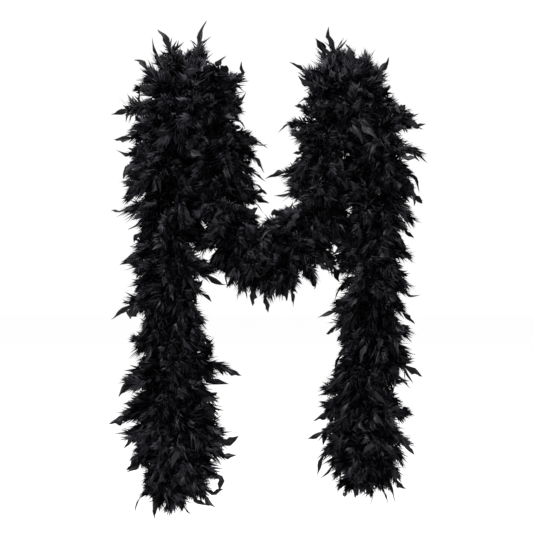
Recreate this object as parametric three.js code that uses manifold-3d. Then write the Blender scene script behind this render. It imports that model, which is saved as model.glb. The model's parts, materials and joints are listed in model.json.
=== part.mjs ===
// A feather boa hung over two pegs, so that it makes two crowns, two tails and a sag between the pegs.
// A twisted core cord runs from end to end, strings of sewn quills are wound on it, and down stands round it.
// Millimetres, +Z up, -Y to the front, +X from the left peg to the right one.
// The origin is where the left peg bears on the wound cord.
import * as THREE from "three";
import { mergeVertices } from "three/addons/utils/BufferGeometryUtils.js";
import Module from "manifold-3d";

const wasm = await Module();
wasm.setup();

// Overall sizes
const PEG_SPACING = 236; // between the middles of the two crowns
const BEND_RADIUS = 38; // of the cord over a peg
const SAG_DEPTH = 206; // of the cord between the pegs, below the hinge level
const LEFT_TAIL_LENGTH = 548; // from the hinge level down to the end of the down
const RIGHT_TAIL_LENGTH = 530;

// Cord and quills
const CORD_RADIUS = 2.3;
const QUILL_BAND_WALL = 2.2;
const WHIPPING_LENGTH = 12;
const WHIPPING_WALL = 1.4;
const KNOT_RADIUS = 5;
const CORD_TAIL_RADIUS = 1.4;
const CORD_TAIL_LENGTH = 30;
const END_ROOM = 3; // between the whipping or knot and the down that hangs round it
const CORD_SIDES = 8;
const CORD_STEP = 22; // length of one straight step of the cord
const CROWN_STEPS = 11; // over a crown, an odd number, so that the middle one lies level on the peg

// Down
const PLUME_RADIUS = 48; // at the hem of a tier
const TIER_TAPER = 16; // how much narrower a tier starts
const TIER_HEIGHT = 40;
const PLUME_SIDES = 12;
const CROWN_RISE = 1.13; // the down stands this much higher over a crown than beside it
const PEG_GAP_WIDTH = 30;
const SADDLE_DEPTH = 1.5; // how far the wound cord stands out of the down above a peg
const UPPER_LINK = 165; // the stretch of a tail that lies beside the drape
const LOWER_LINKS = 3;

// Stray feather tips
const TIP_WIDTH = 11;
const TIP_THICKNESS = 1.2;
const TIP_SHAFT_WIDTH = 2.4;
const TIP_ROOT = 22; // how deep a tip's shaft stands in the down

// Clearances and swings, which the joints share
const GAP = 0.3; // between two pieces that touch
const SWING_MARGIN = 1; // degrees
const DRAPE_SWING = 20;
const FORE_SWING = 25; // of a tail's links to the front and back
const OUT_SWING = 30; // of a tail's links away from the drape
const IN_SWING = 22; // of a tail's last link towards the other tail

const bandRadius = CORD_RADIUS + GAP + QUILL_BAND_WALL;
const channelRadius = bandRadius + GAP;
const whippingRadius = channelRadius + WHIPPING_WALL;
// The crowns end and the tails and the drape begin at this level, below the level step that bears on the peg.
const hingeLevel = (bandRadius - BEND_RADIUS) * Math.cos(Math.PI / (2 * CROWN_STEPS));
const cordOverhang = WHIPPING_LENGTH; // the down hangs this far past the end of the cord

// Each side's crown and tail. A tail's route is how far it has come in, at shares of the way down its cord.
const LEFT = {
  name: "left",
  middle: 0,
  out: -1,
  length: LEFT_TAIL_LENGTH,
  route: [[0, 0], [0, 0.08], [1, 0.2], [2, 0.34], [7, 0.62], [7, 0.8], [6, 1]],
};
const RIGHT = {
  name: "right",
  middle: PEG_SPACING,
  out: 1,
  length: RIGHT_TAIL_LENGTH,
  route: [[0, 0], [0, 0.08], [2, 0.2], [4, 0.34], [11, 0.6], [15, 0.85], [15, 1]],
};
// The drape's route: shares of the way between the crowns, and of the sag's depth
const SAG_ROUTE = [
  [0, 0],
  [0, 0.2],
  [0.03, 0.52],
  [0.17, 0.84],
  [0.45, 1],
  [0.74, 0.85],
  [0.94, 0.52],
  [1, 0.2],
  [1, 0],
];
const SAG_CUTS = [0.22, 0.37, 0.5, 0.63, 0.78]; // shares of the drape's length at which its down is divided

const CORD_MATERIAL = new THREE.MeshStandardMaterial({ color: 0x1b1a1c, roughness: 0.9, metalness: 0 });
const QUILL_MATERIAL = new THREE.MeshStandardMaterial({ color: 0x2a2727, roughness: 0.5, metalness: 0 });
const DOWN_MATERIAL = new THREE.MeshStandardMaterial({ color: 0x161517, roughness: 0.95, metalness: 0 });
const TIP_MATERIAL = new THREE.MeshStandardMaterial({ color: 0x232326, roughness: 0.45, metalness: 0 });
const THREAD_MATERIAL = new THREE.MeshStandardMaterial({ color: 0x121212, roughness: 0.8, metalness: 0 });

const boa = new THREE.Group();

const at = (x, y, z) => new THREE.Vector3(x, y, z);
const degrees = THREE.MathUtils.degToRad;

// The cord's routes, which start at the hinge level.
for (const side of [LEFT, RIGHT]) {
  const points = side.route.map(([inward, share]) => {
    const across = side.middle + side.out * (BEND_RADIUS - inward);
    return at(across, 0, hingeLevel - share * (side.length - cordOverhang));
  });
  side.curve = new THREE.CatmullRomCurve3(points);
}
const [sagLeft, sagRight] = [LEFT, RIGHT].map(({ middle, out }) => middle - out * BEND_RADIUS);
const sagCurve = new THREE.CatmullRomCurve3(
  SAG_ROUTE.map(([across, down]) => {
    return at(sagLeft + across * (sagRight - sagLeft), 0, hingeLevel - down * SAG_DEPTH);
  }),
);

// A closed three.js geometry as a solid that can be cut and joined.
function solid(geometry) {
  const bare = new THREE.BufferGeometry();
  bare.setAttribute("position", geometry.getAttribute("position"));
  bare.setIndex(geometry.index);
  const merged = mergeVertices(bare, 1e-4);
  const corners = [];
  for (let i = 0; i < merged.index.count; i += 3) {
    const [a, b, c] = [0, 1, 2].map((k) => merged.index.getX(i + k));
    if (a !== b && b !== c && c !== a) corners.push(a, b, c);
  }
  return new wasm.Manifold(
    new wasm.Mesh({
      numProp: 3,
      vertProperties: merged.getAttribute("position").array,
      triVerts: new Uint32Array(corners),
    }),
  );
}

// Adds a solid to the boa as a named mesh.
function add(name, body, material) {
  const made = body.getMesh();
  const geometry = new THREE.BufferGeometry();
  geometry.setAttribute("position", new THREE.BufferAttribute(made.vertProperties, 3));
  geometry.setIndex(new THREE.BufferAttribute(made.triVerts, 1));
  const flat = geometry.toNonIndexed();
  flat.computeVertexNormals();
  const mesh = new THREE.Mesh(flat, material);
  mesh.name = name;
  boa.add(mesh);
}

// The part of a solid on one side of a plane.
function keep(body, through, towards) {
  const n = towards.clone().normalize();
  return body.trimByPlane([n.x, n.y, n.z], n.dot(through));
}

// The same, with half a gap left to what lies on the other side.
function past(body, through, towards) {
  return keep(body, through.clone().addScaledVector(towards, GAP / 2), towards);
}

const above = (body, level) => past(body, at(0, 0, level), at(0, 0, 1));
const below = (body, level) => past(body, at(0, 0, level), at(0, 0, -1));

// A roof on top of a piece, so that it can turn about the ridge. Each side is [direction, swing in degrees].
function roofed(body, ridge, sides) {
  const top = ridge.clone().setZ(ridge.z - GAP / 2);
  return sides.reduce((piece, [direction, swing]) => {
    const slope = degrees(swing + SWING_MARGIN);
    const towards = direction.clone().multiplyScalar(-Math.sin(slope)).setZ(-Math.cos(slope));
    return keep(piece, top, towards);
  }, body);
}

const foreAndAft = (swing) => [[at(0, 1, 0), swing], [at(0, -1, 0), swing]];
const sideways = (out, outward, inward) => [[at(out, 0, 0), outward], [at(-out, 0, 0), inward]];

// A regular polygon given by the distance from its middle to its flats.
function polygon(flats, sides) {
  const radius = flats / Math.cos(Math.PI / sides);
  return Array.from({ length: sides }, (_, i) => {
    const angle = ((i + 0.5) * 2 * Math.PI) / sides;
    return new THREE.Vector2(radius * Math.cos(angle), radius * Math.sin(angle));
  });
}

function tube(curve, steps, outer, inner = 0) {
  const section = new THREE.Shape(polygon(outer, CORD_SIDES));
  if (inner > 0) section.holes.push(new THREE.Path(polygon(inner, CORD_SIDES)));
  return solid(new THREE.ExtrudeGeometry(section, { steps, bevelEnabled: false, extrudePath: curve }));
}

// The cord, the quill band on it and the channel that they need in the down, all along one route.
function strand(curve, steps) {
  return {
    cord: tube(curve, steps, CORD_RADIUS),
    quills: tube(curve, steps, bandRadius, CORD_RADIUS + GAP),
    channel: tube(curve, steps, channelRadius),
  };
}

const stepsAlong = (curve) => Math.round(curve.getLength() / CORD_STEP);

// Tiers of down along a straight line, each wider at its lower hem, as feathers lie.
function plume(from, to, spare) {
  const line = to.clone().sub(from);
  const length = line.length() + 2 * spare;
  const tiers = Math.max(1, Math.round(length / TIER_HEIGHT));
  const profile = [new THREE.Vector2(0, 0)];
  for (let i = 0; i < tiers; i++) {
    profile.push(new THREE.Vector2(PLUME_RADIUS, (i * length) / tiers));
    profile.push(new THREE.Vector2(PLUME_RADIUS - TIER_TAPER, ((i + 1) * length) / tiers));
  }
  profile.push(new THREE.Vector2(0, length));
  const geometry = new THREE.LatheGeometry(profile, PLUME_SIDES);
  const up = line.normalize().negate();
  geometry.applyQuaternion(new THREE.Quaternion().setFromUnitVectors(at(0, 1, 0), up));
  const foot = to.clone().addScaledVector(up, -spare);
  return solid(geometry.translate(foot.x, foot.y, foot.z));
}

// A place this far out of the down over a crown, at this angle up from +X about the peg.
function onCrown({ middle }, angle, outside, y) {
  const radius = BEND_RADIUS + PLUME_RADIUS + outside;
  const [across, rise] = [Math.cos(degrees(angle)), Math.sin(degrees(angle))];
  return at(middle + radius * across, y, hingeLevel + CROWN_RISE * radius * rise);
}

// A place this far out of a tail's down, at a share of its length and this angle round it from +X towards +Y.
function onTail({ curve, length }, share, angle, outside) {
  const level = hingeLevel - share * length;
  const radius = PLUME_RADIUS + outside;
  const cord = curve.getPointAt(share);
  return at(cord.x + radius * Math.cos(degrees(angle)), radius * Math.sin(degrees(angle)), level);
}

// The same for the sag, with the angle from +Y upwards, so that 180 is the front and 270 is below.
function onSag(share, angle, outside) {
  const radius = PLUME_RADIUS + outside;
  const cord = sagCurve.getPointAt(share);
  return at(cord.x, radius * Math.cos(degrees(angle)), cord.z + radius * Math.sin(degrees(angle)));
}

// Stray tips: the node's name, the piece of down it stands in, its root inside the down and its point.
const STRAY_TIPS = [
  ["left_crown_tip_1", "left_crown_top", onCrown(LEFT, 107, -TIP_ROOT, -8), onCrown(LEFT, 113, 36, -14)],
  ["left_crown_tip_2", "left_crown_top", onCrown(LEFT, 81, -TIP_ROOT, 4), onCrown(LEFT, 82, 41, 8)],
  ["left_crown_tip_3", "left_crown_outer", onCrown(LEFT, 164, -TIP_ROOT, -10), onCrown(LEFT, 175, 28, -16)],
  ["right_crown_tip_1", "right_crown_top", onCrown(RIGHT, 101, -TIP_ROOT, -6), onCrown(RIGHT, 105, 34, -10)],
  ["right_crown_tip_2", "right_crown_outer", onCrown(RIGHT, 15, -TIP_ROOT, 6), onCrown(RIGHT, 0, 20, 12)],
  ["left_tail_tip_1", "left_tail_2_plume", onTail(LEFT, 0.47, 192, -TIP_ROOT), onTail(LEFT, 0.53, 190, 34)],
  ["left_tail_tip_2", "left_tail_3_plume", onTail(LEFT, 0.62, 272, -TIP_ROOT), onTail(LEFT, 0.7, 279, 25)],
  ["right_tail_tip_1", "right_tail_2_plume", onTail(RIGHT, 0.44, 90, -TIP_ROOT), onTail(RIGHT, 0.51, 84, 25)],
  ["right_tail_tip_2", "right_tail_3_plume", onTail(RIGHT, 0.65, 350, -TIP_ROOT), onTail(RIGHT, 0.71, 350, 26)],
  ["drape_tip_1", "drape_plume_4", onSag(0.53, 278, -TIP_ROOT), onSag(0.56, 270, 22)],
  ["drape_tip_2", "drape_plume_3", onSag(0.45, 200, -TIP_ROOT), onSag(0.42, 215, 30)],
  ["drape_tip_3", "drape_plume_4", onSag(0.54, -20, -TIP_ROOT), onSag(0.57, -32, 32)],
];

// One flat tip on its shaft, grown by a margin all round.
function featherTip(root, point, margin) {
  const line = point.clone().sub(root);
  const [low, high] = [-margin, line.length() + margin];
  const [shaft, blade] = [TIP_SHAFT_WIDTH / 2 + margin, TIP_WIDTH / 2 + margin];
  const [neck, widest] = [0.4 * line.length(), 0.65 * line.length()];
  const outline = new THREE.Shape();
  outline.moveTo(-shaft, low);
  outline.lineTo(shaft, low);
  outline.lineTo(shaft, neck);
  outline.quadraticCurveTo(blade, neck, blade, widest);
  outline.quadraticCurveTo(blade, (widest + high) / 2, 0, high);
  outline.quadraticCurveTo(-blade, (widest + high) / 2, -blade, widest);
  outline.quadraticCurveTo(-blade, neck, -shaft, neck);
  const thickness = TIP_THICKNESS + 2 * margin;
  const settings = { depth: thickness, curveSegments: 3, bevelEnabled: false };
  const geometry = new THREE.ExtrudeGeometry(outline, settings).translate(0, 0, -thickness / 2);
  const along = line.normalize();
  const across = along.clone().cross(at(0, 1, 0)).normalize();
  const turned = new THREE.Matrix4().makeBasis(across, along, across.clone().cross(along));
  return solid(geometry.applyMatrix4(turned.setPosition(root)));
}

// Adds a piece of down, with a pocket for each stray tip that stands in it.
function addPlume(name, body) {
  const pocketed = STRAY_TIPS.filter(([, host]) => host === name).reduce(
    (piece, [, , root, point]) => piece.subtract(featherTip(root, point, GAP)),
    body,
  );
  add(name, pocketed, DOWN_MATERIAL);
}

// Half a turn over a peg, from the left strand to the right one.
class OverPeg extends THREE.Curve {
  constructor(middle) {
    super();
    this.middle = middle;
  }
  getPoint(share, target = new THREE.Vector3()) {
    const angle = Math.PI * (1 - share);
    const across = this.middle + BEND_RADIUS * Math.cos(angle);
    return target.set(across, 0, hingeLevel + BEND_RADIUS * Math.sin(angle));
  }
}

// A crown: the cord bent over its peg, and down that fans out round the bend in three pieces.
function buildCrown({ name, middle, out }) {
  const half = PEG_GAP_WIDTH / 2;
  const curve = new OverPeg(middle);
  const { cord, quills, channel } = strand(curve, CROWN_STEPS);
  add(`${name}_crown_cord`, above(cord, hingeLevel), CORD_MATERIAL);
  add(`${name}_crown_quills`, above(quills, hingeLevel), QUILL_MATERIAL);

  const profile = [new THREE.Vector2(0, -PLUME_RADIUS)];
  for (let i = 0; i <= 8; i++) {
    const angle = (Math.PI * (i - 4)) / 8;
    const radius = BEND_RADIUS + PLUME_RADIUS * Math.cos(angle);
    profile.push(new THREE.Vector2(radius, PLUME_RADIUS * Math.sin(angle)));
  }
  profile.push(new THREE.Vector2(0, PLUME_RADIUS));
  const fan = new THREE.LatheGeometry(profile, 16).scale(1, 1, CROWN_RISE).translate(middle, 0, hingeLevel);
  const gapTop = SADDLE_DEPTH;
  const gap = new THREE.BoxGeometry(PEG_GAP_WIDTH, 4 * PLUME_RADIUS, 2 * (gapTop - hingeLevel));
  const down = above(solid(fan), hingeLevel)
    .subtract(solid(gap.translate(middle, 0, hingeLevel)))
    .subtract(channel);
  for (const [piece, side] of [["outer", out], ["inner", -out]]) {
    const corner = at(middle + side * (half + GAP / 2), 0, gapTop);
    const beside = keep(down, at(middle, 0, 0), at(side, 0, 0));
    addPlume(`${name}_crown_${piece}`, keep(beside, corner, at(side, 0, -1)));
  }
  const top = [-1, 1].reduce(
    (piece, side) => keep(piece, at(middle + side * (half - GAP / 2), 0, gapTop), at(-side, 0, 1)),
    down,
  );
  addPlume(`${name}_crown_top`, top);
}

// The whipping, knot and loose cord tail at the end of a tail.
function addEnd(name, curve, steps, out) {
  const end = curve.getPoint(1);
  const whipping = tube(curve, steps, whippingRadius, channelRadius);
  add(`${name}_whipping`, below(whipping, end.z + WHIPPING_LENGTH), THREAD_MATERIAL);
  const knot = new THREE.SphereGeometry(KNOT_RADIUS, 10, 8).rotateX(Math.PI / 2);
  const knotMiddle = end.z - GAP - KNOT_RADIUS;
  add(`${name}_knot`, solid(knot.translate(end.x, 0, knotMiddle)), CORD_MATERIAL);
  const root = at(end.x, 0, knotMiddle - KNOT_RADIUS - GAP);
  const tailCurve = new THREE.CatmullRomCurve3([
    root,
    at(root.x + 1 * out, -1, root.z - CORD_TAIL_LENGTH / 3),
    at(root.x + 4 * out, -3, root.z - (2 * CORD_TAIL_LENGTH) / 3),
    at(root.x + 3 * out, -4, root.z - CORD_TAIL_LENGTH),
  ]);
  add(`${name}_cord_tail`, tube(tailCurve, 8, CORD_TAIL_RADIUS), CORD_MATERIAL);
}

// A tail: links of cord, quills and down, hinged in turn to the front and to the side.
function buildTail({ name, middle, out, length, curve }) {
  const cordLength = length - cordOverhang;
  const steps = stepsAlong(curve);
  const { cord, quills, channel } = strand(curve, steps);
  const end = curve.getPoint(1);
  const routeAt = (level) => {
    const share = (hingeLevel - level) / cordLength;
    return share < 1 ? curve.getPointAt(Math.max(share, 0)).setZ(level) : end.clone().setZ(level);
  };

  const pocketTop = end.z + WHIPPING_LENGTH + GAP;
  const widest = Math.max(whippingRadius / Math.cos(Math.PI / CORD_SIDES), KNOT_RADIUS);
  const pocketRadius = (widest + END_ROOM) / Math.cos(Math.PI / CORD_SIDES);
  const pocketDepth = 2 * WHIPPING_LENGTH + cordOverhang;
  const pocket = new THREE.CylinderGeometry(pocketRadius, pocketRadius, pocketDepth, CORD_SIDES);
  pocket.rotateX(Math.PI / 2).translate(end.x, 0, pocketTop - pocketDepth / 2);
  const hollow = channel.add(solid(pocket));

  const lower = (length - UPPER_LINK) / LOWER_LINKS;
  const levels = [hingeLevel];
  for (let i = 0; i <= LOWER_LINKS; i++) levels.push(hingeLevel - UPPER_LINK - i * lower);
  const hinges = [
    foreAndAft(FORE_SWING),
    sideways(out, OUT_SWING, 0),
    foreAndAft(FORE_SWING),
    sideways(out, OUT_SWING, IN_SWING),
  ];
  for (const [i, sides] of hinges.entries()) {
    const link = `${name}_tail_${i + 1}`;
    const [top, bottom] = [routeAt(levels[i]), routeAt(levels[i + 1])];
    const last = i === hinges.length - 1;
    const cut = (body) => {
      const piece = roofed(body, top, sides);
      return last ? piece : above(piece, bottom.z);
    };
    add(`${link}_cord`, cut(cord), CORD_MATERIAL);
    add(`${link}_quills`, cut(quills), QUILL_MATERIAL);
    let down = above(roofed(plume(top, bottom, TIER_HEIGHT / 2), top, sides), bottom.z).subtract(hollow);
    if (i === 0) down = past(down, at(middle, 0, 0), at(out, 0, 0));
    addPlume(`${link}_plume`, down);
  }
  addEnd(name, curve, steps, out);
}

// The drape: both inner strands and the sag between them, which swing as one about the line through the saddles.
function buildDrape() {
  const curve = sagCurve;
  const { cord, quills, channel } = strand(curve, stepsAlong(curve));
  const hang = (body) => roofed(body, curve.getPoint(0), foreAndAft(DRAPE_SWING));
  add("drape_cord", hang(cord), CORD_MATERIAL);
  add("drape_quills", hang(quills), QUILL_MATERIAL);

  const shares = [0, ...SAG_CUTS, 1];
  for (let i = 0; i + 1 < shares.length; i++) {
    const [start, stop] = [curve.getPointAt(shares[i]), curve.getPointAt(shares[i + 1])];
    let down = plume(start, stop, TIER_HEIGHT / 2);
    if (i > 0) down = past(down, start, curve.getTangentAt(shares[i]));
    if (i + 2 < shares.length) down = past(down, stop, curve.getTangentAt(shares[i + 1]).negate());
    down = hang(down).subtract(channel);
    for (const { middle, out } of [LEFT, RIGHT]) down = past(down, at(middle, 0, 0), at(-out, 0, 0));
    addPlume(`drape_plume_${i + 1}`, down);
  }
}

for (const side of [LEFT, RIGHT]) {
  buildCrown(side);
  buildTail(side);
}
buildDrape();
for (const [name, , root, point] of STRAY_TIPS) add(name, featherTip(root, point, 0), TIP_MATERIAL);

export default boa;
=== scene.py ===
"""A feather boa hung over two pegs: laid core cord, sewn quills, down, flat feather ends and finished cord ends."""
import json
import math
import random

import bpy
import numpy as np
from mathutils import Matrix, Vector


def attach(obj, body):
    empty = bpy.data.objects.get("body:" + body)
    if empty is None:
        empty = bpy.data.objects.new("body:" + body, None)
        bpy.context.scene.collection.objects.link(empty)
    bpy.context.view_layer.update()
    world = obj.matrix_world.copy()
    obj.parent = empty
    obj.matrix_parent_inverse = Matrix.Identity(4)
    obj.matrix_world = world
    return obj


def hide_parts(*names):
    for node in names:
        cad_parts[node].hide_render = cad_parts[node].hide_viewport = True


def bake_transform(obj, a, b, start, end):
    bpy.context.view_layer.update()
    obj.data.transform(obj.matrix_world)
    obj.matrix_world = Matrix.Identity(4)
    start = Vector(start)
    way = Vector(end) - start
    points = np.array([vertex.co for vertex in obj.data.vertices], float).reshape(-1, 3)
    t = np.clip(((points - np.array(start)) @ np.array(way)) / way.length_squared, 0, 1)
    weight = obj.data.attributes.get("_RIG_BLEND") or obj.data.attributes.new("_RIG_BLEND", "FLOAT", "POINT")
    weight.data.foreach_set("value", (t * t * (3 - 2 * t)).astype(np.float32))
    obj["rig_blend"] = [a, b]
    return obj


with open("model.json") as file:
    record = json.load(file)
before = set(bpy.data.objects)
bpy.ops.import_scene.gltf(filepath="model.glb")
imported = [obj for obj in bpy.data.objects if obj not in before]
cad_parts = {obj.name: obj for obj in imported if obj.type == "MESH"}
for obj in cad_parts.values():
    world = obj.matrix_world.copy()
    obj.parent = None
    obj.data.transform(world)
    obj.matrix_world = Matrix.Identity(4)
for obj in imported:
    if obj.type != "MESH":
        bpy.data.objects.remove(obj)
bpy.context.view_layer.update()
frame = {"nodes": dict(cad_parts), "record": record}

bl_info = {
    "name": "Feather boa",
    "version": (1, 0, 0),
    "blender": (4, 5, 0),
    "location": "3D View > Sidebar > Boa",
    "description": "Builds a full feather boa round the packed frame of its cord and down",
    "category": "Object",
}

# Sizes shared with the frame, in metres
PEG_SPACING = 0.236
BEND_RADIUS = 0.038
BAND_RADIUS = 0.0048
CROWN_STEPS = 11
HINGE_LEVEL = (BAND_RADIUS - BEND_RADIUS) * math.cos(math.pi / (2 * CROWN_STEPS))
SAG_DEPTH = 0.206
CORD_OVERHANG = 0.012
UPPER_LINK = 0.165
WHIPPING_LENGTH = 0.012
KNOT_RADIUS = 0.005
END_GAP = 0.0003
STEP = 0.004  # between the points of a route
FINE_POINTS = 24  # between two corners of a route, before its points are spaced evenly
ARC_POINTS = 40  # round half a turn over a peg
END_START = 0.052  # from a tail's last hinge down to its end stretch
BLEND_HALF = 0.04  # a stretch bends over this much on each side of its hinge
GOLDEN_ANGLE = 2.399963  # radians from one feather to the next round the cord
STRAY_ANGLE = 0.7  # radians that a feather may stray from that
ROOT_OFFSET = 0.002  # from the middle of the cord to a feather's root
QUARTERS = (0, 1.5708, 3.1416, 4.7124)  # quarter turns, in radians

SIDES = {
    "left": {
        "middle": 0.0,
        "out": -1,
        "length": 0.548,
        "turns": [(0, 0), (0, 0.08), (1, 0.2), (2, 0.34), (7, 0.62), (7, 0.8), (6, 1)],
    },
    "right": {
        "middle": PEG_SPACING,
        "out": 1,
        "length": 0.530,
        "turns": [(0, 0), (0, 0.08), (2, 0.2), (4, 0.34), (11, 0.6), (15, 0.85), (15, 1)],
    },
}
SAG_TURNS = [
    (0, 0), (0, 0.2), (0.03, 0.52), (0.17, 0.84), (0.45, 1), (0.74, 0.85), (0.94, 0.52), (1, 0.2), (1, 0),
]


def linear(colour):
    """An sRGB hex colour as linear red, green, blue and 1."""
    parts = [int(colour[i : i + 2], 16) / 255 for i in (1, 3, 5)]
    return tuple(c / 12.92 if c <= 0.04045 else ((c + 0.055) / 1.055) ** 2.4 for c in parts) + (1.0,)


# ---- routes -------------------------------------------------------------------------------------------------


def smooth_route(corners):
    """Points every STEP along one smooth curve through the corners."""
    ends = [2 * corners[0] - corners[1], *corners, 2 * corners[-1] - corners[-2]]
    fine = []
    for a, b, c, d in zip(ends, ends[1:], ends[2:], ends[3:]):
        for i in range(FINE_POINTS):
            t = i / FINE_POINTS
            fine.append(0.5 * (
                2 * b + (c - a) * t + (2 * a - 5 * b + 4 * c - d) * t * t + (3 * b - a - 3 * c + d) * t ** 3
            ))
    fine.append(corners[-1])
    return part_of(fine)


def part_of(points, start=0, stop=math.inf):
    """The part of a line between two lengths along it, with its points evenly spaced."""
    line = np.array([tuple(p) for p in points])
    gone = np.concatenate([[0], np.cumsum(np.linalg.norm(np.diff(line, axis=0), axis=1))])
    stop = min(stop, gone[-1])
    at = np.linspace(start, stop, max(2, round((stop - start) / STEP) + 1))
    return [Vector([float(np.interp(s, gone, line[:, k])) for k in range(3)]) for s in at]


def length_of(points):
    """The length of a line."""
    return sum((b - a).length for a, b in zip(points, points[1:]))


def tail_route(side):
    """Down a tail's cord, from the hinge level to the cord's end."""
    fall = side["length"] - CORD_OVERHANG
    return smooth_route([
        Vector((side["middle"] + side["out"] * (BEND_RADIUS - inward / 1000), 0, HINGE_LEVEL - share * fall))
        for inward, share in side["turns"]
    ])


def crown_route(side):
    """Over a peg, from its left strand to its right one."""
    arc = [math.pi * (1 - i / ARC_POINTS) for i in range(ARC_POINTS + 1)]
    return part_of([
        Vector((side["middle"] + BEND_RADIUS * math.cos(a), 0, HINGE_LEVEL + BEND_RADIUS * math.sin(a))) for a in arc
    ])


def sag_route():
    """From the left peg's inner strand down and up to the right peg's."""
    start = SIDES["left"]["middle"] + BEND_RADIUS
    span = SIDES["right"]["middle"] - BEND_RADIUS - start
    return smooth_route([
        Vector((start + across * span, 0, HINGE_LEVEL - down * SAG_DEPTH)) for across, down in SAG_TURNS
    ])


def tail_hinges(side):
    """Lengths from the hinge level down to a tail's lower hinges."""
    lower = (side["length"] - UPPER_LINK) / 3
    return [UPPER_LINK, UPPER_LINK + lower, UPPER_LINK + 2 * lower]


GIRTHS = {  # size of the feathers at the start and end of a stretch
    "left_tail_1": (0.94, 0.98),
    "left_tail_2": (0.98, 1.0),
    "left_tail_3": (1.02, 1.1),
    "left_tail_4": (1.12, 1.17),
    "left_tail_end": (1.17, 0.76),
    "right_tail_1": (0.92, 0.95),
    "right_tail_2": (0.95, 0.97),
    "right_tail_3": (0.97, 1.03),
    "right_tail_4": (1.05, 1.05),
    "right_tail_end": (1.05, 0.74),
    "drape_1": (0.86, 0.9),
    "drape_2": (0.9, 0.92),
    "drape_3": (0.92, 0.92),
    "drape_4": (0.92, 0.9),
    "drape_5": (0.9, 0.84),
}
TAIL_LEAN, SAG_LEAN, STRAND_LEAN = 0.5, 0.3, 0.2  # how far feathers lean down: on a tail, on the sag, beside a peg
SAG_SHARES = [0, 0.13, 0.38, 0.62, 0.87, 1]  # where the sag is cut into stretches
SAG_PLUMES = [(1,), (2,), (3, 4), (5,), (6,)]  # the frame's plumes that each of them stands for


class Stretch:
    """One stretch of the boa.

    It has its route, the body or two bodies that it follows, the hinge between the two, the frame nodes that it stands
    for, and, for its feathers, how far they lean down and how big they are by the share of the way along, how close
    they stand and how much they sag.
    """

    def __init__(self, name, route, bodies, hinge=None, plumes=(), cords=(), lean=None, girth=None, crowding=1.0,
                 droop=1.0):
        self.name = name
        self.route = route
        self.bodies = bodies
        self.hinge = hinge
        self.plumes = plumes
        self.cords = cords
        self.lean = lean
        self.girth = girth or (lambda share: GIRTHS[name][0] * (1 - share) + GIRTHS[name][1] * share)
        self.crowding = crowding
        self.droop = droop

    def base(self):
        """The curve that its feathers grow on. Its radius is their size and its tilt is how far they lean down."""
        shares = [i / (len(self.route) - 1) for i in range(len(self.route))]
        return curve_object(
            "route", self.route, [self.girth(share) for share in shares], [self.lean(share) for share in shares],
        )

    def attach(self, piece):
        """Make a piece follow the stretch's body, or bend from its first body to its second."""
        if len(self.bodies) == 1:
            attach(piece, self.bodies[0])
            return
        half = Vector((0, 0, BLEND_HALF))
        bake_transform(piece, *self.bodies, start=tuple(self.hinge + half), end=tuple(self.hinge - half))


def tail_stretches(name, side):
    """A tail's four stretches, each round a hinge, and its end."""
    tail = tail_route(side)
    hinges = [0, *tail_hinges(side)]
    cuts = [0] + [(a + b) / 2 for a, b in zip(hinges, hinges[1:])] + [hinges[3] + END_START, length_of(tail)]
    links = ["crowns"] + [f"{name}_tail_{i}" for i in range(1, 5)]
    made = []
    for i in range(4):
        first = i == 0
        made.append(Stretch(
            f"{name}_tail_{i + 1}", part_of(tail, cuts[i], cuts[i + 1]), (links[i], links[i + 1]),
            part_of(tail, hinges[i], hinges[i] + STEP)[0],
            plumes=[f"{name}_tail_{i + 1}_plume"], cords=[f"{name}_tail_{i + 1}"],
            lean=lambda share, first=first: STRAND_LEAN + 0.3 * share if first else TAIL_LEAN,
            crowding=1.3 if first else 1.0,
        ))
    made.append(Stretch(
        f"{name}_tail_end", part_of(tail, cuts[4], cuts[5]), (links[4],),
        lean=lambda share: TAIL_LEAN + 1.0 * share ** 2, crowding=1.6,
    ))
    return made


def crown_stretch(name, side):
    """The bend over a peg, whose feathers stand up and are longest at its top."""
    return Stretch(
        f"{name}_crown", crown_route(side), ("crowns",),
        plumes=[f"{name}_crown_{part}" for part in ("outer", "top", "inner")], cords=[f"{name}_crown"],
        lean=lambda share: 0.3 - 0.5 * math.sin(math.pi * share),
        girth=lambda share: 0.62 + 0.66 * math.sin(math.pi * share ** 0.86) ** 2, crowding=1.8, droop=0.4,
    )


def sag_stretches():
    """The sag's two strands, which bend at the pegs, and the three stretches between them."""
    sag = sag_route()
    whole = length_of(sag)
    strands = {0: BEND_RADIUS, 4: PEG_SPACING - BEND_RADIUS}
    made = []
    for i, numbers in enumerate(SAG_PLUMES):
        name, route = f"drape_{i + 1}", part_of(sag, SAG_SHARES[i] * whole, SAG_SHARES[i + 1] * whole)
        plumes = [f"drape_plume_{number}" for number in numbers]
        if i in strands:
            made.append(Stretch(
                name, route, ("crowns", "drape"), Vector((strands[i], 0, HINGE_LEVEL)), plumes=plumes,
                lean=lambda share, i=i: STRAND_LEAN + 0.3 * (1 - share if i else share), crowding=1.3,
            ))
        else:
            made.append(Stretch(
                name, route, ("drape",), plumes=plumes, cords=["drape"] if i == 2 else (),
                lean=lambda share: SAG_LEAN, crowding=1.08,
            ))
    return made


def stretches():
    """Every stretch of the boa in turn."""
    made = []
    for name, side in SIDES.items():
        made += [*tail_stretches(name, side), crown_stretch(name, side)]
    return made + sag_stretches()


# ---- nodes and meshes ---------------------------------------------------------------------------------------


def socket(sockets, key):
    """A node's socket by its place or its shown name."""
    if isinstance(key, int):
        return sockets[key]
    return next(s for s in sockets if s.name == key and s.enabled)


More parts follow.
